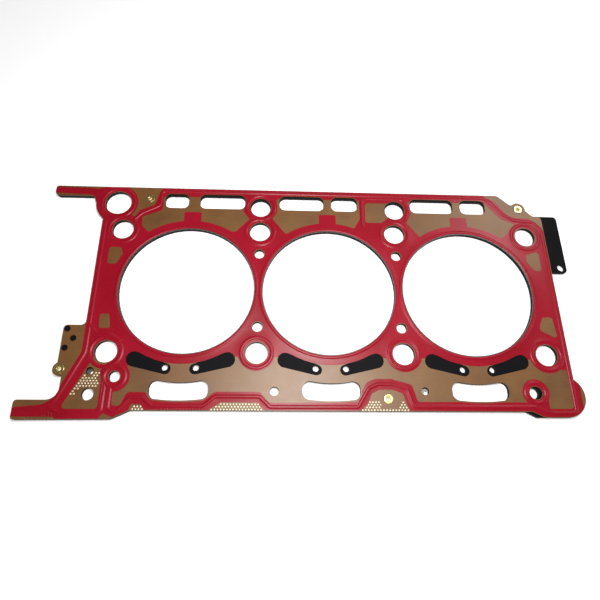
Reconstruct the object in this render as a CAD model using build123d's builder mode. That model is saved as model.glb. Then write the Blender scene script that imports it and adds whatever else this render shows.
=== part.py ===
from build123d import *
import os

# Head gasket for one bank of a three-cylinder-per-side engine, in its free state.
# Millimetres. The origin is on the middle bore's axis, halfway through the carrier layer.
# +X runs along the cylinder row, +Y towards the row of long slots, +Z towards the cylinder head.

os.makedirs("parts", exist_ok=True)

# Thicknesses of the stack, from the carrier outwards
carrier_thickness = 2.3
sheet_thickness = 0.3
stopper_thickness = 0.12
print_thickness = 0.12
bead_height = 0.33

# Cylinder row and head bolts
bore_pitch = 90.0
bore_radius = 42.3
bolt_radius = 6.8
bolt_row_y = 41.3
end_bolt_x = 134.7
bore_x = [-bore_pitch, 0.0, bore_pitch]
bolt_x = [-end_bolt_x, -bore_pitch / 2, bore_pitch / 2, end_bolt_x]
bolt_spots = [(x, side * bolt_row_y) for x in bolt_x for side in (1, -1)]

# Round ports beside the upper bolts, and the vents between the bores
end_port_spot = (-140.1, 61.3)
end_port_radius = 8.5
port_spots = [(-bore_pitch / 2, 59.8), (46.3, 59.8)]
port_radius = 6.9
vent_radius = 3.2
vent_spots = [(x, y) for x in (-bore_pitch / 2, bore_pitch / 2) for y in (25.0, -24.8)]

# Long slots in the upper row, left and right end of each
slot_low_y = 58.2
slot_high_y = 69.0
slot_corner = 4.0
slot_spans = [(-109.3, -93.3), (-86.0, -55.5), (-32.3, -2.2), (2.9, 20.9), (57.4, 87.2), (92.3, 110.0)]

# Curved slots below each bore, their upper edge parallel to the bore
curved_slot_gap = 17.4
curved_slot_half = 17.3
curved_slot_height = 10.5
curved_slot_sag = 1.3
curved_slot_corner = 4.5

# Teardrop windows below each bore, open in the outer sheets only
window_far = (27.7, -45.8)
window_far_radius = 4.6
window_near = (8.8, -51.6)
window_near_radius = 3.3
metering_spot = (9.2, -50.7)
metering_radius = 1.9

# Small passages along the lower edge
left_passage_spot = (-127.7, -56.4)
left_passage_radius = 3.3
right_passage_spot = (123.7, -64.7)
right_passage_radius = 3.9
right_throat_spot = (122.4, -64.9)
right_throat_radius = 3.2
dowel_spot = (-141.8, -66.8)
dowel_radius = 3.6
drain_spot = (-33.9, -64.5)
drain_radius = 2.7
stepped_spots = [(-142.3, -53.2), (56.1, -64.0)]
stepped_radius = 2.3
stepped_throat_radius = 1.2
stepped_throat_shift = (0.9, -0.9)

# Thickness marks on the left tab
mark_spots = [(-159.3, -27.4), (-155.0, -33.3), (-159.1, -39.3)]
mark_radius = 1.9

# The carrier reaches further into the upper slots and ports than the outer sheets do, along their upper edge
carrier_ledge = 0.8

# Riveting eyelets
eyelet_spots = {
    "upper_left": (-119.5, 64.8),
    "left_tab": (-160.0, -52.1),
    "lower_middle": (33.8, -68.7),
    "upper_right": (133.3, 62.8),
}
eyelet_bore = 1.25
eyelet_wall = 0.5
eyelet_flange_radius = 2.9
eyelet_clearance = 0.05
eyelet_lip = 0.15

# Outline of the sheets
left_x = -148.9
right_x = 148.6
top_y = 73.6
bottom_y = -75.9
foot_y = -79.2
arm_reach = 33.8
arm_low_y = 66.0
lower_arm_top_y = -70.1
lower_arm_bottom_y = -81.4
tab_reach = 12.8
tab_top_y = -24.9
neck_reach = 9.3
end_port_lobe = 14.8
eyelet_lobe = 5.1
ear_lobe = 4.1
foot_lobe_spot = (141.3, -66.6)
foot_lobe = 12.6

# Black tab of the carrier on the right
side_tab_x = 159.4
side_tab_low_y = 15.1
side_tab_high_y = 57.6
side_tab_corner = 2.5
side_tab_hole_spot = (155.7, 18.9)
side_tab_hole_radius = 2.5

# Printed elastomer and its raised sealing beads
print_margin = 0.35
bore_band_radius = 48.6
bolt_band_radius = 11.3
end_port_band_radius = 13.0
port_band_radius = 11.3
left_passage_band = 9.0
right_passage_band = 8.3
curved_slot_rim = 0.9
bead_base = 2.6
bead_crest = 1.0
bolt_bead_radius = 9.4
end_port_bead_radius = 10.9
port_bead_radius = 9.4
passage_bead_radius = 6.2
bore_bead_inset = 0.5
bore_bead_rise = 0.5
bore_bead_spacing = 0.2
land_spacing = 0.8
land_gap = 0.05
stopper_inset = 0.2

block_width = 11.4
block_high_y = 55.2
block_height = 10.0
block_corner = 1.0

# The slanted foot of the carrier, which stands out below the outer sheets
carrier_foot = [(112.0, -72.0), (116.0, -75.9), (122.4, -79.2), (130.0, -79.2), (130.0, -72.0)]
carrier_foot_corner = 0.6

# Levels
carrier_top = carrier_thickness / 2
sheet_top = carrier_top + sheet_thickness
print_top = sheet_top + print_thickness
crest_top = print_top + bead_height
land_top = sheet_top + stopper_thickness

# Spots and radii that follow from the sizes above
arm_end_x = left_x - arm_reach
tab_x = left_x - tab_reach
neck_x = left_x - neck_reach
bore_centres = [(x, 0) for x in bore_x]
land_radius = (bore_pitch - land_spacing) / 2
stopper_outer = land_radius - stopper_inset
bore_bead_inner = bore_radius + bore_bead_inset
bore_bead_foot = (bore_pitch - bore_bead_spacing) / 2
curved_slot_top_radius = bore_radius + curved_slot_gap
curved_slot_low_y = -(curved_slot_top_radius + curved_slot_height)
curved_slot_end_y = curved_slot_low_y + curved_slot_sag
metering_spots = [(x + side * metering_spot[0], metering_spot[1]) for x in bore_x for side in (-1, 1)]
throat_spots = [(x + stepped_throat_shift[0], y + stepped_throat_shift[1]) for x, y in stepped_spots]
side_tab_width = side_tab_x - foot_lobe_spot[0]
side_tab_centre = (side_tab_x - side_tab_width / 2, (side_tab_low_y + side_tab_high_y) / 2)
eyelet_outer = eyelet_bore + eyelet_wall
eyelet_hole_radius = eyelet_outer + eyelet_clearance

# Sections of the beads and of an eyelet, as distance from the bead's line or the hole's axis, and level
bead_section = [
    (-bead_base / 2, 0),
    (-bead_crest / 2, crest_top - sheet_top),
    (bead_crest / 2, crest_top - sheet_top),
    (bead_base / 2, 0),
]
bore_bead_section = [
    (bore_bead_inner, land_top),
    (bore_bead_inner + bore_bead_rise, crest_top),
    (bore_bead_inner + bore_bead_rise + bead_crest, crest_top),
    (bore_bead_foot, print_top),
    (bore_bead_foot, sheet_top),
    (land_radius + land_gap, sheet_top),
    (land_radius + land_gap, land_top),
]
eyelet_half = [
    (eyelet_bore, crest_top - eyelet_lip),
    (eyelet_bore + eyelet_lip, crest_top),
    (eyelet_flange_radius - eyelet_lip, crest_top),
    (eyelet_flange_radius, crest_top - eyelet_lip),
    (eyelet_flange_radius, sheet_top),
    (eyelet_outer, sheet_top),
]
eyelet_section = eyelet_half + [(r, -z) for r, z in reversed(eyelet_half)]


def rounded(points, radius, close=False):
    """Path with its corners rounded to one radius, or to its own where a corner is given as (x, y, r)."""
    radii = [point[2] if len(point) > 2 else radius for point in points]
    FilletPolyline(*[point[:2] for point in points], radius=radii if close else radii[1:-1], close=close)


def patch(points, radius):
    """Closed patch with rounded corners."""
    with BuildLine() as edge:
        rounded(points, radius, close=True)
    make_face(edge.edges())


def discs(spots, radius, mode=Mode.ADD):
    with Locations(*spots):
        Circle(radius, mode=mode)


# Outline shared by all sheets: main plate, two arms and the left tab, with round lobes
plate_corners = [
    (arm_end_x, top_y, 1.7),
    (119.8, top_y, 3.0),
    (127.4, 66.8, 1.5),
    (137.2, 63.2),
    (142.6, 57.6, 3.0),
    (right_x, 57.6, 3.0),
    (right_x, -74.0),
    (foot_lobe_spot[0], foot_y),
    (126.8, foot_y, 4.0),
    (119.6, bottom_y, 4.0),
    (-116.6, bottom_y, 5.0),
    (-127.2, -80.9, 6.0),
    (arm_end_x, lower_arm_bottom_y, 2.0),
    (arm_end_x, lower_arm_top_y, 2.0),
    (neck_x, lower_arm_top_y, 7.0),
    (neck_x, -52.5),
    (tab_x, -50.0),
    (tab_x, tab_top_y, 2.2),
    (left_x, tab_top_y, 3.0),
    (left_x, 56.5),
    (-155.7, 62.3),
    (-156.4, arm_low_y, 0.8),
    (arm_end_x, arm_low_y, 3.5),
]
with BuildSketch() as outline:
    patch(plate_corners, 1.0)
    discs([end_port_spot], end_port_lobe)
    with Locations((end_port_spot[0], top_y + end_port_lobe / 2)):
        Rectangle(2 * end_port_lobe, end_port_lobe, mode=Mode.SUBTRACT)
    discs([eyelet_spots["upper_right"]], eyelet_lobe)
    discs([eyelet_spots["left_tab"]], ear_lobe)
    discs([foot_lobe_spot], foot_lobe)

# One curved slot below a bore that stands at the sketch's centre
with BuildSketch() as curved_slot:
    curved_slot_end_top = -((curved_slot_top_radius**2 - curved_slot_half**2) ** 0.5)
    with BuildLine():
        Line((-curved_slot_half, curved_slot_end_y), (-curved_slot_half, curved_slot_end_top))
        ThreePointArc(
            (-curved_slot_half, curved_slot_end_top),
            (0, -curved_slot_top_radius),
            (curved_slot_half, curved_slot_end_top),
        )
        Line((curved_slot_half, curved_slot_end_top), (curved_slot_half, curved_slot_end_y))
        ThreePointArc(
            (curved_slot_half, curved_slot_end_y),
            (0, curved_slot_low_y),
            (-curved_slot_half, curved_slot_end_y),
        )
    make_face()
    fillet(curved_slot.vertices(), curved_slot_corner)

# One pair of teardrop windows below a bore that stands at the sketch's centre
with BuildSketch() as window_pair:
    discs([window_far], window_far_radius)
    discs([window_near], window_near_radius)
    make_hull()
    Circle(bore_band_radius, mode=Mode.SUBTRACT)
    mirror(about=Plane.YZ)


def passages(grow=0.0, mode=Mode.ADD, ledge=0.0):
    """Openings that all the sheets share, larger all round by grow, the upper row lower on top by ledge."""
    discs(bore_centres, bore_radius + grow, mode)
    discs(bolt_spots, bolt_radius + grow, mode)
    discs([end_port_spot], end_port_radius + grow, mode)
    discs([(x, y - ledge / 2) for x, y in port_spots], port_radius + grow - ledge / 2, mode)
    discs(vent_spots, vent_radius + grow, mode)
    discs([left_passage_spot], left_passage_radius + grow, mode)
    discs([dowel_spot], dowel_radius + grow, mode)
    discs([drain_spot], drain_radius + grow, mode)
    slot_height = slot_high_y - ledge - slot_low_y + 2 * grow
    for left, right in slot_spans:
        with Locations(((left + right) / 2, (slot_low_y + slot_high_y - ledge) / 2)):
            RectangleRounded(right - left + 2 * grow, slot_height, slot_corner + grow, mode=mode)
    shape = curved_slot.sketch if grow == 0 else offset(curved_slot.sketch, grow, mode=Mode.PRIVATE)
    with Locations(*bore_centres):
        add(shape, mode=mode)


with BuildSketch() as shared_openings:
    passages()
    discs(eyelet_spots.values(), eyelet_hole_radius)

with BuildSketch() as carrier_openings:
    passages(ledge=carrier_ledge)
    discs(eyelet_spots.values(), eyelet_hole_radius)

# Top sheet: bronze lacquer, windows, thickness marks, and a land over each stopper ring
with BuildPart() as upper_layer:
    with BuildSketch(Plane.XY.offset(carrier_top)):
        add(outline.sketch)
        add(shared_openings.sketch, mode=Mode.SUBTRACT)
        with Locations(*bore_centres):
            add(window_pair.sketch, mode=Mode.SUBTRACT)
        discs(stepped_spots, stepped_radius, Mode.SUBTRACT)
        discs([right_passage_spot], right_passage_radius, Mode.SUBTRACT)
        discs(mark_spots, mark_radius, Mode.SUBTRACT)
    extrude(amount=sheet_thickness)
    with BuildSketch(Plane.XY.offset(sheet_top)):
        with Locations(*bore_centres):
            Circle(land_radius)
            Circle(bore_radius, mode=Mode.SUBTRACT)
    extrude(amount=stopper_thickness)
    with BuildSketch(Plane.XY.offset(carrier_top)):
        with Locations(*bore_centres):
            Circle(stopper_outer + land_gap)
    extrude(amount=stopper_thickness, mode=Mode.SUBTRACT)
upper_layer.part.label = "upper_layer"
export_step(upper_layer.part, "parts/upper_layer.step")

# Carrier: thick black-coated sheet with the metering holes and the tab on the right
with BuildPart() as carrier_layer:
    with BuildSketch(Plane.XY.offset(-carrier_top)):
        add(outline.sketch)
        with Locations(side_tab_centre):
            RectangleRounded(side_tab_width, side_tab_high_y - side_tab_low_y, side_tab_corner)
        patch(carrier_foot, carrier_foot_corner)
        add(carrier_openings.sketch, mode=Mode.SUBTRACT)
        discs(metering_spots, metering_radius, Mode.SUBTRACT)
        discs(stepped_spots, stepped_radius, Mode.SUBTRACT)
        discs([right_throat_spot], right_throat_radius, Mode.SUBTRACT)
        discs([side_tab_hole_spot], side_tab_hole_radius, Mode.SUBTRACT)
    extrude(amount=carrier_thickness)
carrier_layer.part.label = "carrier_layer"
export_step(carrier_layer.part, "parts/carrier_layer.step")

# Bottom sheet: same openings, with the narrow throats of the stepped holes
with BuildPart() as lower_layer:
    with BuildSketch(Plane.XY.offset(-sheet_top)):
        add(outline.sketch)
        add(shared_openings.sketch, mode=Mode.SUBTRACT)
        discs(metering_spots, metering_radius, Mode.SUBTRACT)
        discs(throat_spots, stepped_throat_radius, Mode.SUBTRACT)
        discs([right_throat_spot], right_throat_radius, Mode.SUBTRACT)
    extrude(amount=sheet_thickness)
lower_layer.part.label = "lower_layer"
export_step(lower_layer.part, "parts/lower_layer.step")

# Stopper rings: thin flat rings welded to the carrier round each bore, under the land
for name, x in zip(("left", "middle", "right"), bore_x):
    with BuildPart() as stopper_ring:
        with BuildSketch(Plane.XY.offset(carrier_top)):
            with Locations((x, 0)):
                Circle(stopper_outer)
                Circle(bore_radius, mode=Mode.SUBTRACT)
        extrude(amount=stopper_thickness)
    stopper_ring.part.label = f"stopper_ring_{name}"
    export_step(stopper_ring.part, f"parts/stopper_ring_{name}.step")

# Bare patches that the print leaves open, before the bands round the holes go back over them
main_patches = [
    # round the eyelet at the upper left, open to the top edge
    ([(-134, 75.5), (-134, 60), (-130.6, 52.6), (-128.6, 50.6), (-125, 56), (-115.8, 60.2, 4),
      (-113.7, 69, 3), (-110.9, 75.5)], 0.8),
    # below the upper slots, one patch for each bore
    ([(-123.4, 51, 3), (-110.4, 56.4, 2.5), (-110.4, 67.1), (-104, 67.1), (-104, 62), (-56.4, 62),
      (-56.4, 56), (-51.8, 51.2), (-60.8, 41.4), (-70, 39.6), (-118.2, 39.6, 3), (-122.8, 44.4, 3)], 1.2),
    ([(-34.4, 67.1), (-30, 67.1), (-30, 62), (19, 62), (19, 67.1), (22.2, 67.1), (22.2, 52.4, 2),
      (18.2, 45.4, 2), (12, 43.6), (-24, 39.8), (-28.4, 40.4), (-37, 51.4), (-34.4, 55.6)], 1.2),
    ([(55.8, 67.1), (60, 67.1), (60, 62), (105, 62), (105, 67.1), (110.2, 67.1, 0.6), (119.6, 55.4, 3),
      (129.6, 50.8), (119.8, 40.6), (110, 39.8), (62, 39.8), (54, 50), (56.2, 55.6)], 1.2),
    # webs between the slots
    ([(-94.5, 56), (-94.5, 67.1), (-84.8, 67.1), (-84.8, 56)], 0.8),
    ([(-3.6, 56), (-3.6, 67.1), (4.2, 67.1), (4.2, 56)], 0.8),
    ([(86, 56), (86, 67.1), (93.5, 67.1), (93.5, 56)], 0.8),
    # upper right corner, open to the edge
    ([(101, 77), (117.6, 68.6), (125.2, 58.2), (129.6, 56.2), (139.4, 55.7), (144.8, 52), (148.2, 46.6, 1),
      (151, 46.6, 1), (151, 77)], 3),
    # small patches beside the end bores
    ([(-141.7, 28.2), (-134.2, 28.2), (-132.6, 23.4), (-136.2, 16.2), (-141.7, 16.2)], 2),
    ([(-141.3, -17.6), (-135.7, -17.6), (-134.1, -26.8), (-140.9, -26.8)], 1.2),
    ([(142, 30.6), (133.2, 27.6), (132.8, 22.8), (137.2, 16.2), (142, 16.2)], 2),
    ([(136.4, -16.4), (142.6, -16.4), (143.9, -30.8), (133.2, -25.2), (133.8, -22)], 1.6),
    # left tab, down its neck and along the lower arm
    ([(-148.8, -22), (-148.8, -41.6, 6), (-157.4, -61.2), (-161.8, -70.2, 3), (-166.5, -72.9), (-187, -75),
      (-190, -66), (-172, -60), (-172, -22)], 2),
    # lower side, along the curved slots
    ([(-127.4, -60), (-127.4, -73.4), (-122.2, -73.4), (-119.4, -65.5, 3), (-109, -65.5), (-104, -70.2, 3),
      (-75.2, -70.3, 3), (-68.6, -65, 5), (-42.2, -65, 2.5), (-36.6, -71.4, 2.5), (14.9, -70.6, 1.5),
      (21, -58.9, 5), (26.4, -56.8, 3), (36, -56.8, 3), (48.4, -60.2, 3), (51.2, -70.4), (131, -70.4),
      (131, -44), (-116, -44), (-121.2, -50.6)], 1.8),
    ([(129, -44), (129, -74.1), (145.6, -74.1, 2.5), (145.6, -50.4), (141, -50.4), (141, -44)], 1.5),
    # round the lower eyelet, open to the bottom edge
    ([(13, -78.5), (21.2, -71.9, 1.5), (24, -65.6), (28.8, -63.2), (36.5, -63.2), (42.6, -65.4),
      (45, -73.2, 1.5), (51, -78.5)], 3),
    # embossed trapezoids at the bottom edge
    ([(-118.6, -79), (-116, -72.1), (-111, -72.1), (-105.8, -79)], 0.8),
    ([(-76.5, -78.3), (-65, -71.2), (-44, -71.2), (-36.5, -78.3)], 0.8),
    # strips along both arms, the step of the bottom edge and the foot
    ([(-186, -79.7), (-158.6, -79.7), (-156.4, -84), (-186, -84)], 0.8),
    ([(-135.4, -82.2), (-131.4, -77.6), (-124.4, -80.6), (-125, -83)], 0.8),
    ([(-187, 68.4), (-157.5, 67), (-157.5, 64), (-187, 64)], 0.8),
    ([(-190, 72.4), (-161, 72.3), (-154.5, 71.6), (-149.4, 73.2), (-149.4, 77), (-190, 77)], 0.8),
    ([(151.6, -60), (156, -60), (156, -76), (151.3, -72)], 0.8),
]
# Bare patches that run right up to a hole
hole_patches = [
    ([(26, 49.9), (26, 65.3, 3), (44, 65.3), (45, 60), (41.6, 54), (36.8, 49.9)], 1.5),
    ([(-140.4, -43.4), (-156.3, -75.3), (-135.1, -75.3), (-135.1, -58), (-136.6, -53.6), (-132.4, -48),
      (-134.7, -43.4)], 2),
]

with BuildSketch() as bare_patches:
    for points, radius in main_patches:
        patch(points, radius)
    with Locations(*bore_centres):
        add(offset(curved_slot.sketch, curved_slot_rim, mode=Mode.PRIVATE))
with BuildSketch() as bare_at_holes:
    for points, radius in hole_patches:
        patch(points, radius)

# Bands of print that go round the openings
with BuildSketch() as hole_bands:
    discs(bore_centres, bore_band_radius)
    discs(bolt_spots, bolt_band_radius)
    discs([end_port_spot], end_port_band_radius)
    discs(port_spots, port_band_radius)
    discs([left_passage_spot], left_passage_band)
    discs([right_passage_spot], right_passage_band)
    with Locations(*[(x, block_high_y - block_height / 2) for x in bore_x]):
        RectangleRounded(block_width, block_height, block_corner)
    patch([(117, -75.5), (117.6, -66), (124, -59.6), (130.6, -59.6), (130.6, -75.5)], 0.8)

with BuildSketch() as print_limit:
    add(outline.sketch)
    offset(amount=-print_margin)
with BuildSketch() as print_field:
    add(print_limit.sketch)
    add(bare_patches.sketch, mode=Mode.SUBTRACT)
    add(hole_bands.sketch)
    add(bare_at_holes.sketch, mode=Mode.SUBTRACT)
    add(print_limit.sketch, mode=Mode.INTERSECT)

# Raised sealing beads: rings round the openings, and runs along the edges with rounded turns
bead_rings = [(spot, bolt_bead_radius) for spot in bolt_spots]
bead_rings += [(end_port_spot, end_port_bead_radius), (port_spots[0], port_bead_radius)]
bead_rings += [(left_passage_spot, passage_bead_radius), (right_passage_spot, passage_bead_radius)]
bead_runs = [
    # lower arm, up the left edge
    ([(-181.2, -76.6), (-166, -74.9), (-160, -71.2), (-155.6, -62), (-146.7, -41.6), (-146.7, 47.4)], 6),
    # round the left patch and up to the left passage
    ([(-164, -73), (-157, -77.4), (-133, -77.4), (-133, -60)], 3),
    # from the left passage along the bottom, round the foot and up the right edge to the top
    ([(-129.4, -62), (-129.4, -76.2), (-123.8, -76.2), (-117, -68.4), (-110.4, -68.4), (-104.2, -73.4),
      (-75, -73.4), (-68.2, -67.8), (-42.4, -67.8), (-36.2, -73.8), (15.4, -73.6), (22.4, -62.2, 5),
      (27.6, -60, 5), (36.4, -60, 5), (45.4, -62.6, 4), (48.6, -73.2), (122, -73.2), (130.6, -76.6),
      (146.8, -76.6), (146.8, 47, 4), (141.6, 52.9, 4), (128.4, 54.1, 4), (121.4, 58.6, 4),
      (113.4, 68.8, 4), (109, 71.2), (-112.2, 71.2), (-112.2, 60.2, 4), (-123.6, 54), (-128.4, 48.8)], 2.5),
    # from the left edge over the lower left bolt
    ([(-146.7, -24.5), (-141.6, -30.2), (-134, -30.4), (-126.5, -34.8)], 4),
    # round the bare patch beside the right port
    ([(23.8, 47), (23.8, 68.9), (52.6, 68.9), (55.8, 60), (53, 51)], 4),
]

with BuildPart() as upper_seal_print:
    with BuildSketch(Plane.XY.offset(sheet_top)):
        add(print_field.sketch)
        passages(print_margin, Mode.SUBTRACT)
        with Locations(*bore_centres):
            add(window_pair.sketch, mode=Mode.SUBTRACT)
        discs(bore_centres, land_radius + land_gap, Mode.SUBTRACT)
        discs([right_passage_spot], right_passage_radius + print_margin, Mode.SUBTRACT)
    extrude(amount=print_thickness)
    for (x, y), radius in bead_rings:
        with BuildSketch(Plane(origin=(x + radius, y, sheet_top), x_dir=(1, 0, 0), z_dir=(0, -1, 0))):
            with BuildLine():
                Polyline(*bead_section, close=True)
            make_face()
        revolve(axis=Axis((x, y, 0), (0, 0, 1)))
    for points, radius in bead_runs:
        with BuildLine(Plane.XY.offset(sheet_top)) as run:
            rounded(points, radius)
        start = run.wire() @ 0
        along = run.wire() % 0
        with BuildSketch(Plane(origin=start, x_dir=Vector(0, 0, 1).cross(along), z_dir=along)):
            with BuildLine():
                Polyline(*bead_section, close=True)
            make_face()
        sweep(path=run.wire())
    for x in bore_x:
        with BuildSketch(Plane(origin=(x, 0, 0), x_dir=(1, 0, 0), z_dir=(0, -1, 0))):
            with BuildLine():
                Polyline(*bore_bead_section, close=True)
            make_face()
        revolve(axis=Axis((x, 0, 0), (0, 0, 1)))
upper_seal_print.part.label = "upper_seal_print"
export_step(upper_seal_print.part, "parts/upper_seal_print.step")

# Eyelets: drawn tubes with a rolled flange on both faces
for name, spot in eyelet_spots.items():
    with BuildPart() as eyelet:
        with BuildSketch(Plane(origin=(*spot, 0), x_dir=(1, 0, 0), z_dir=(0, -1, 0))):
            with BuildLine():
                Polyline(*eyelet_section, close=True)
            make_face()
        revolve(axis=Axis((*spot, 0), (0, 0, 1)))
    eyelet.part.label = f"eyelet_{name}"
    export_step(eyelet.part, f"parts/eyelet_{name}.step")
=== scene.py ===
import math

import bmesh
import bpy
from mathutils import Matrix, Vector


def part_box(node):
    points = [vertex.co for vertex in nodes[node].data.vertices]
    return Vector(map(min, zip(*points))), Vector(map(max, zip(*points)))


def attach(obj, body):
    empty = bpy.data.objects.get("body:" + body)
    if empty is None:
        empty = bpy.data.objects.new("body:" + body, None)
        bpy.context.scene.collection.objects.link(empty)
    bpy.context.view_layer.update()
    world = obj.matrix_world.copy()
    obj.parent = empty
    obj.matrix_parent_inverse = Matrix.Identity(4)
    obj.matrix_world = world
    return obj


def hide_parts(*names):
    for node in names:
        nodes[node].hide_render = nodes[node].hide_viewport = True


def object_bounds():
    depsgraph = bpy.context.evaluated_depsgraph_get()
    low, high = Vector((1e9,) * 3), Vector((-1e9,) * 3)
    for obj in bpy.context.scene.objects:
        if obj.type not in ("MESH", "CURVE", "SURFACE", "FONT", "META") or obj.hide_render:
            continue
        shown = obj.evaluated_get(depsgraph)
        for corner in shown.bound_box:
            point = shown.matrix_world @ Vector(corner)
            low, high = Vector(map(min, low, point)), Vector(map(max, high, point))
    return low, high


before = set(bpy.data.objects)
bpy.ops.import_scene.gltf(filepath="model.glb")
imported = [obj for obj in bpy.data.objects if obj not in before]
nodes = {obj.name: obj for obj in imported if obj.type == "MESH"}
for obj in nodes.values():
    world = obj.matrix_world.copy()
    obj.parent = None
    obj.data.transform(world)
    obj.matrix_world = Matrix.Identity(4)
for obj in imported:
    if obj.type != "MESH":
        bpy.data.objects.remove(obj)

cad_low, cad_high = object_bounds()

MM = 0.001

# Levels of the stack, read from the frame
sheet_top = -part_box("lower_layer")[0].z
land_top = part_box("upper_layer")[1].z
crest_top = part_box("upper_seal_print")[1].z
carrier_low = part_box("carrier_layer")[0].z
print_thickness = 0.12 * MM
print_top = sheet_top + print_thickness

# Bores: half of their spacing and the reach of the raised land, from the stopper ring that the land covers
ring_low, ring_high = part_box("stopper_ring_right")
half_pitch = (ring_low.x + ring_high.x) / 4
land_reach = (ring_high.x - ring_low.x) / 2 + 0.3 * MM
bare_rim_radius = 42.85 * MM

# Points closer together than this are one point
weld = 0.001 * MM

# Embossed dots: size of a dome, and the steps along and between their rows in millimetres
dot_radius = 0.66 * MM
dot_step = 1.8
dot_rise = 1.54

# Bare seats at the bottom of the two stepped holes, their places in millimetres
seat_spots = {"left_seat": (-142.3, -53.2), "right_seat": (56.1, -64.0)}
seat_radius = 2.28 * MM
seat_throat_radius = 1.2 * MM
seat_throat_shift = (0.9, -0.9)
seat_level = carrier_low + 0.06 * MM
seat_thickness = 0.05 * MM


# Node materials

class Signal:
    """A socket that takes part in arithmetic. Each operator adds one Math node to its finish."""

    def __init__(self, finish, socket):
        self.finish = finish
        self.socket = socket

    def math(self, operation, first, second=0.0):
        return self.finish.node("ShaderNodeMath", {"operation": operation}, {0: first, 1: second})

    def __add__(self, other):
        return self.math("ADD", self, other)

    __radd__ = __add__

    def __mul__(self, other):
        return self.math("MULTIPLY", self, other)

    __rmul__ = __mul__

    def __sub__(self, other):
        return self.math("SUBTRACT", self, other)

    def __rsub__(self, other):
        return self.math("SUBTRACT", other, self)

    def __lt__(self, other):
        return self.math("LESS_THAN", self, other)

    def __abs__(self):
        return self.math("ABSOLUTE", self)


class Finish:
    """A procedural material in the making, on one Principled shader."""

    def __init__(self, name):
        self.material = bpy.data.materials.new(name)
        self.material.use_nodes = True
        self.tree = self.material.node_tree
        self.shader = self.tree.nodes["Principled BSDF"]
        self.place = self.node("ShaderNodeTexCoord", output="Object")

    def node(self, kind, settings=None, sockets=None, output=0):
        """Adds any node: its settings first, then values or links of its sockets."""
        made = self.tree.nodes.new(kind)
        for name, value in (settings or {}).items():
            setattr(made, name, value)
        for name, value in (sockets or {}).items():
            self.feed(made.inputs[name], value)
        return Signal(self, made.outputs[output])

    def feed(self, port, value):
        if isinstance(value, Signal):
            self.tree.links.new(value.socket, port)
        else:
            port.default_value = value

    def noise(self, scale, detail, roughness, stretch=(1, 1, 1)):
        """Noise of about scale patches per metre, drawn out along an axis by a small stretch."""
        place = self.node("ShaderNodeVectorMath", {"operation": "MULTIPLY"}, {0: self.place, 1: stretch})
        sockets = {"Vector": place, "Scale": scale, "Detail": detail, "Roughness": roughness}
        return self.node("ShaderNodeTexNoise", {}, sockets)

    def spread(self, signal, low, high):
        """Stretches the band from low to high over 0 to 1."""
        return self.node("ShaderNodeMapRange", {}, {"Value": signal, "From Min": low, "From Max": high})

    def mix(self, factor, first, second):
        """Colour between first and second, on the node's factor and its two colour sockets."""
        settings = {"data_type": "RGBA"}
        return self.node("ShaderNodeMix", settings, {0: factor, 6: first, 7: second}, output=2)

    def upright(self):
        """1 on walls that stand along Z, 0 on flat faces."""
        normal = self.node("ShaderNodeNewGeometry", output="Normal")
        height = self.node("ShaderNodeSeparateXYZ", {}, {0: normal}, output="Z")
        return abs(height) < 0.5

    def bore_rim(self, radius):
        """1 within a radius of a bore's axis. Folding x twice brings all three bores onto one."""
        x = self.node("ShaderNodeSeparateXYZ", {}, {0: self.place}, output="X")
        y = self.node("ShaderNodeSeparateXYZ", {}, {0: self.place}, output="Y")
        across = abs(abs(x) - half_pitch) - half_pitch
        return across * across + y * y < radius * radius

    def bump(self, height, strength, distance):
        sockets = {"Height": height, "Strength": strength, "Distance": distance}
        return self.node("ShaderNodeBump", {}, sockets)

    def set(self, **sockets):
        """Feeds the shader's sockets, named with an underscore for each space, and gives the material."""
        for name, value in sockets.items():
            self.feed(self.shader.inputs[name.replace("_", " ")], value)
        return self.material


def colour(red, green, blue):
    """Linear colour from the 0 to 255 values of a screen."""
    def linear(value):
        share = value / 255
        return share / 12.92 if share <= 0.04045 else ((share + 0.055) / 1.055) ** 2.4
    return (linear(red), linear(green), linear(blue), 1.0)


def bronze_lacquer():
    """Rolled spring steel under a thin bronze lacquer, bare round the bores, with painted shade darkening
    its upright cut edges.
    """
    finish = Finish("bronze_lacquer")
    cloud = finish.noise(22, 3, 0.55)
    blotch = finish.noise(140, 4, 0.6)
    roll_lines = finish.noise(1, 3, 0.6, (45, 1900, 45))
    tone = finish.spread(0.55 * cloud + 0.2 * blotch + 0.25 * roll_lines, 0.36, 0.64)
    lacquer = finish.mix(tone, colour(101, 60, 14), colour(125, 81, 22))
    edge = finish.upright()
    rim = finish.bore_rim(bare_rim_radius)
    body = finish.mix(rim, lacquer, colour(92, 90, 86))
    return finish.set(
        # The dark brown on upright walls is painted shade in the walls of the holes and round the rim, not
        # the colour of cut steel
        Base_Color=finish.mix(edge, body, colour(38, 34, 30)),
        Metallic=0.1 + 0.7 * rim * (1 - edge),
        Roughness=0.38 + 0.12 * blotch + 0.08 * roll_lines,
        Specular_IOR_Level=0.85,
        Specular_Tint=(1.0, 0.94, 0.84, 1.0),
        Coat_Weight=0.35 - 0.35 * edge,
        Coat_Roughness=0.37,
        Normal=finish.bump(roll_lines * 0.7 + blotch * 0.3, 0.12, 0.02 * MM),
    )


def black_coat():
    """Semi-matt black coating of the carrier."""
    finish = Finish("black_coat")
    cloud = finish.noise(60, 3, 0.6)
    grit = finish.noise(2600, 3, 0.7)
    return finish.set(
        Base_Color=finish.mix(cloud, colour(10, 10, 12), colour(19, 19, 22)),
        Roughness=0.5 + 0.16 * grit,
        Specular_IOR_Level=0.08,
        Normal=finish.bump(grit, 0.25, 0.03 * MM),
    )


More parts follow.
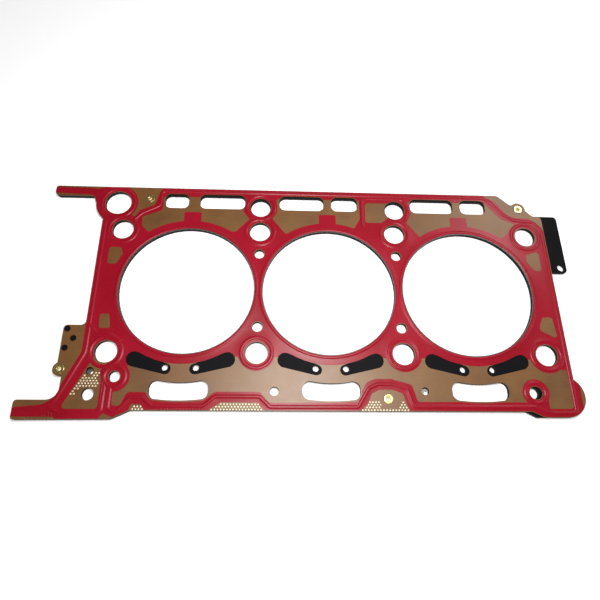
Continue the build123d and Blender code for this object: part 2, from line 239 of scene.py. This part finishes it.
def bare_steel():
    """Plain rolled steel of the stopper rings and the bare seats."""
    finish = Finish("bare_steel")
    roll_lines = finish.noise(1, 3, 0.6, (60, 2200, 60))
    return finish.set(
        Base_Color=finish.mix(roll_lines, colour(150, 148, 142), colour(196, 193, 186)),
        Metallic=1.0,
        Roughness=0.28 + 0.15 * roll_lines,
        Normal=finish.bump(roll_lines, 0.1, 0.02 * MM),
    )


def red_print():
    """Screen-printed elastomer, satin, with the faint mesh mottle of the screen."""
    finish = Finish("red_print")
    cloud = finish.noise(30, 2, 0.5)
    mottle = finish.noise(900, 3, 0.65)
    tone = finish.spread(0.6 * cloud + 0.4 * mottle, 0.35, 0.65)
    return finish.set(
        Base_Color=finish.mix(tone, colour(144, 9, 27), colour(162, 13, 39)),
        Roughness=0.27 + 0.12 * mottle,
        Specular_IOR_Level=0.26,
        Normal=finish.bump(mottle, 0.18, 0.02 * MM),
    )


def eyelet_brass():
    """Drawn brass with a faint tarnish."""
    finish = Finish("eyelet_brass")
    tarnish = finish.noise(700, 4, 0.6)
    return finish.set(
        Base_Color=finish.mix(tarnish, colour(212, 186, 112), colour(238, 220, 160)),
        Metallic=1.0,
        Roughness=0.2 + 0.2 * tarnish,
        Normal=finish.bump(tarnish, 0.1, 0.02 * MM),
    )


def dot_painted_highlight():
    """Domes of the embossed dots in a pale cream, a painted highlight that stands in for the glints of light
    on them.
    """
    finish = Finish("dot_painted_highlight")
    highlight_speckle = finish.noise(900, 3, 0.6)
    return finish.set(
        # Pale cream much lighter than the lacquer: a painted highlight on the domes
        Base_Color=finish.mix(highlight_speckle, colour(222, 200, 160), colour(246, 236, 214)),
        Metallic=0.5,
        Roughness=0.3 + 0.15 * highlight_speckle,
        Normal=finish.bump(highlight_speckle, 0.1, 0.02 * MM),
    )


def studio_floor():
    """Pale paper sweep under the gasket."""
    finish = Finish("studio_floor")
    fibre = finish.noise(500, 3, 0.6)
    return finish.set(
        Base_Color=finish.mix(fibre, colour(240, 240, 240), colour(246, 246, 246)),
        Roughness=0.9,
        Emission_Color=(1.0, 1.0, 1.0, 1.0),
        Emission_Strength=0.4,
    )


bronze = bronze_lacquer()
black = black_coat()
steel = bare_steel()
red = red_print()
brass = eyelet_brass()

# Finishes of the CAD nodes, where those not named are the steel stopper rings and the brass eyelets
node_finishes = {
    "upper_layer": bronze,
    "lower_layer": bronze,
    "carrier_layer": black,
    "upper_seal_print": red,
}
for name, node in nodes.items():
    finish = node_finishes.get(name) or (steel if name.startswith("stopper") else brass)
    node.data.materials.clear()
    node.data.materials.append(finish)


def open_for_edit(piece):
    """Opens one piece in edit mode, with nothing in it selected."""
    bpy.ops.object.select_all(action="DESELECT")
    piece.select_set(True)
    bpy.context.view_layer.objects.active = piece
    bpy.ops.object.mode_set(mode="EDIT")
    bpy.ops.mesh.select_mode(type="EDGE")
    bpy.ops.mesh.select_all(action="DESELECT")


def close_edit():
    """Goes back to object mode, which keeps what was edited."""
    bpy.ops.object.mode_set(mode="OBJECT")


def twin(piece, name):
    """Copy of a piece with a mesh of its own."""
    made = bpy.data.objects.new(name, piece.data.copy())
    bpy.context.scene.collection.objects.link(made)
    return made


def bead_edge(edge):
    """Whether an edge runs along a bead's crest, or is the hollow edge along its foot."""
    turn = math.degrees(edge.calc_face_angle_signed(0))
    at_crest = min(vertex.co.z for vertex in edge.verts) > crest_top - 0.01 * MM
    crest_corner = at_crest and abs(turn) > 9
    hollow_foot = -45 < turn < -12
    return crest_corner or hollow_foot


def eyelet_corner(edge):
    """Whether an edge is a corner of the eyelet's section, and not one facet's side."""
    return abs(math.degrees(edge.calc_face_angle_signed(0))) > 30


def softened(node_name, name, chosen, width, smooth):
    """Copy of a CAD node with its chosen edges rounded over, and nothing above or below the crests."""
    piece = twin(nodes[node_name], name)
    open_for_edit(piece)
    bpy.ops.mesh.customdata_custom_splitnormals_clear()
    bpy.ops.mesh.select_all(action="SELECT")
    bpy.ops.mesh.remove_doubles(threshold=weld)
    bpy.ops.mesh.select_all(action="DESELECT")
    mesh = bmesh.from_edit_mesh(piece.data)
    for edge in mesh.edges:
        edge.select_set(chosen(edge))
    bmesh.update_edit_mesh(piece.data)
    bpy.ops.mesh.bevel(offset=width, segments=3, profile=0.5, clamp_overlap=False, loop_slide=False)
    bpy.ops.mesh.select_all(action="SELECT")
    bpy.ops.mesh.remove_doubles(threshold=weld)
    close_edit()
    for vertex in piece.data.vertices:
        vertex.co.z = max(-crest_top, min(crest_top, vertex.co.z))
    bpy.ops.object.shade_smooth_by_angle(angle=math.radians(smooth), keep_sharp_edges=False)
    return piece


# Printed seal on the head side, its raised beads rounded over as the printed rubber is
upper_print = softened("upper_seal_print", "upper_print_soft", bead_edge, width=0.26 * MM, smooth=13)
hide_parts("upper_seal_print")
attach(upper_print, "root")

# The same print mirrored on the block side, where no land lifts the sheet and the bore beads start on it
lower_print = twin(upper_print, "lower_seal_print")
open_for_edit(lower_print)
mesh = bmesh.from_edit_mesh(lower_print.data)
for vertex in mesh.verts:
    across = abs(abs(abs(vertex.co.x) - half_pitch) - half_pitch)
    over_land = math.hypot(across, vertex.co.y) < land_reach
    if over_land and abs(vertex.co.z - land_top) < 2 * weld:
        vertex.co.z = sheet_top
bmesh.update_edit_mesh(lower_print.data)
bpy.ops.mesh.select_all(action="SELECT")
bpy.ops.transform.resize(value=(1, 1, -1), center_override=(0, 0, 0))
bpy.ops.mesh.remove_doubles(threshold=weld)
bpy.ops.mesh.normals_make_consistent(inside=False)
close_edit()
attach(lower_print, "root")

# Riveting eyelets with rolled rims
for node_name in [name for name in nodes if name.startswith("eyelet")]:
    rolled = softened(node_name, node_name + "_rolled", eyelet_corner, width=0.09 * MM, smooth=35)
    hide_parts(node_name)
    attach(rolled, "root")


def dot_spots(fields):
    """Places of dots in millimetres, row by row upwards, every second row shifted by half a step."""
    spots = []
    for low_y, rows in fields:
        for row, spans in enumerate(rows):
            y = low_y + row * dot_rise
            shift = dot_step / 2 * (row % 2)
            for left, right in spans:
                first = math.ceil((left - shift) / dot_step)
                last = math.floor((right - shift) / dot_step)
                spots += [(count * dot_step + shift, y) for count in range(first, last + 1)]
    return spots


def embossed_dots(name, fields, level, height, finish):
    """One dome modelled once, copied to every spot of the fields and joined into a piece."""
    spots = dot_spots(fields)
    bpy.ops.object.select_all(action="DESELECT")
    bpy.ops.mesh.primitive_uv_sphere_add(segments=10, ring_count=6, radius=dot_radius, location=(0, 0, 0))
    dome = bpy.context.object
    dome.name = name
    dome.data.materials.append(finish)
    open_for_edit(dome)
    bpy.ops.mesh.select_all(action="SELECT")
    bpy.ops.transform.resize(value=(1, 1, height / dot_radius), center_override=(0, 0, 0))
    close_edit()
    bpy.ops.object.shade_smooth()
    domes = [dome] + [twin(dome, name) for _ in spots[1:]]
    for piece, (x, y) in zip(domes, spots):
        piece.location = (x * MM, y * MM, level)
        piece.select_set(True)
    bpy.context.view_layer.objects.active = dome
    bpy.ops.object.join()
    bpy.ops.object.transform_apply(location=True, rotation=True, scale=True)
    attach(dome, "root")


# Fields of embossed dots: the height of the lowest row, then the left and right ends of each row upwards
bare_fields = [
    # left triangle
    (-66.7, [
        [(-151.6, -149.2)],
        [(-150.9, -148.7)],
        [(-150.4, -147.4)],
        [(-149.2, -136.3)],
        [(-148.4, -136.2)],
        [(-147.4, -136.3)],
        [(-146.6, -137)],
        [(-145.8, -144.7), (-139.6, -136.4)],
        [(-139.8, -136.8)],
    ]),
    # two trapezoids at the bottom edge
    (-75.3, [[(-116.4, -108.6)], [(-115.6, -110)]]),
    (-75.3, [[(-71, -40.9)], [(-68.6, -42)], [(-66.4, -43.2)]]),
    # round the lower eyelet
    (-75.3, [
        [(17.2, 46.8)],
        [(19.4, 29.6), (40, 45.2)],
        [(21.2, 29.4), (40.8, 44.2)],
        [(22.3, 28.8), (42.2, 43.8)],
    ]),
]
arm_fields = [(-80.6, [[(-176.5, -157)]])]
# Dots that the print covers, along the bottom edge and at the root of the lower arm
coated_fields = [
    (-75.0, [[(-100, -74)]]),
    (-72.2, [[(-116, -109.8)]]),
    (-79.1, [[(-166.8, -158.8)]]),
    (-77.9, [[(-163, -157.6)]]),
]
embossed_dots("embossed_dots", bare_fields, sheet_top, 0.26 * MM, dot_painted_highlight())
embossed_dots("arm_dots", arm_fields, sheet_top, 0.12 * MM, bronze)
embossed_dots("coated_dots", coated_fields, print_top, 0.14 * MM, red)


def bare_seat(name, x, y):
    """Bare steel seat round the narrow throat at the bottom of a stepped hole."""
    shift_x, shift_y = seat_throat_shift
    throat_place = ((x + shift_x) * MM, (y + shift_y) * MM, seat_level)
    bpy.ops.object.select_all(action="DESELECT")
    bpy.ops.mesh.primitive_circle_add(vertices=40, radius=seat_radius, location=(x * MM, y * MM, seat_level))
    rim = bpy.context.object
    bpy.ops.mesh.primitive_circle_add(vertices=40, radius=seat_throat_radius, location=throat_place)
    rim.select_set(True)
    bpy.context.view_layer.objects.active = rim
    bpy.ops.object.join()
    bpy.ops.object.transform_apply(location=True, rotation=True, scale=True)
    rim.name = name
    rim.data.materials.append(steel)
    open_for_edit(rim)
    bpy.ops.mesh.select_all(action="SELECT")
    bpy.ops.mesh.bridge_edge_loops()
    bpy.ops.mesh.select_all(action="SELECT")
    bpy.ops.mesh.normals_make_consistent(inside=False)
    close_edit()
    wall = rim.modifiers.new("wall", "SOLIDIFY")
    wall.thickness = seat_thickness
    wall.offset = 0
    bpy.ops.object.modifier_apply(modifier=wall.name)
    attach(rim, "root")


for name, (x, y) in seat_spots.items():
    bare_seat(name, x, y)


# Camera at the photograph's place and angle, as worked out from the bores and bolt holes
photo_width = 600
focal_pixels = 492.4
camera_data = bpy.data.cameras.new("camera")
camera_data.sensor_width = 36.0
camera_data.lens = camera_data.sensor_width * focal_pixels / photo_width
camera_data.clip_start = 0.01
camera_data.clip_end = 20
camera = bpy.data.objects.new("camera", camera_data)
bpy.context.scene.collection.objects.link(camera)
camera.location = Vector((-32.4, -118.3, 291.6)) * MM
camera.rotation_euler = (0.3666, -0.0465, -0.0028)
bpy.context.scene.camera = camera

# Screen colours as they are, with no film curve, so that the red stays as deep as the photograph's
bpy.context.scene.view_settings.view_transform = "Standard"


def area_light(name, place, target, size, watts):
    """Round soft light at a place, aimed at a target."""
    data = bpy.data.lights.new(name, "AREA")
    data.shape = "DISK"
    data.size = size
    data.energy = watts
    light = bpy.data.objects.new(name, data)
    bpy.context.scene.collection.objects.link(light)
    light.location = place
    light.rotation_euler = (Vector(target) - Vector(place)).to_track_quat("-Z", "Y").to_euler()


# A small light overhead, which brightens the middle of the lower side, and two behind for the upper side
area_light("camera_light", (-0.004, -0.01, 0.34), (-0.004, -0.01, 0), size=0.11, watts=1.08)
area_light("upper_right_light", (0.386, 0.357, 0.5), (0.12, 0.05, 0), size=0.16, watts=0.95)
area_light("upper_back_light", (0.1, 0.9, 0.8), (0, 0, 0), size=0.5, watts=0.15)

# Soft lights on four sides, the front one the strongest, so that no sheen greys the upper half
wall_reach = 1.4
wall_height = 0.75
for name, angle, watts in (("left", 180, 1.2), ("right", 0, 2.8), ("front", -90, 5), ("back", 90, 1.2)):
    turn = math.radians(angle)
    place = (wall_reach * math.cos(turn), wall_reach * math.sin(turn), wall_height)
    area_light(name + "_wall_light", place, (0, 0, 0), size=0.6, watts=watts)

world = bpy.data.worlds.new("studio")
world.use_nodes = True
background = world.node_tree.nodes["Background"]
background.inputs["Color"].default_value = (1, 1, 1, 1)
background.inputs["Strength"].default_value = 0.1
bpy.context.scene.world = world

bpy.ops.mesh.primitive_plane_add(size=6, location=(0, 0, cad_low.z))
floor = bpy.context.object
floor.name = "floor"
floor.data.materials.append(studio_floor())
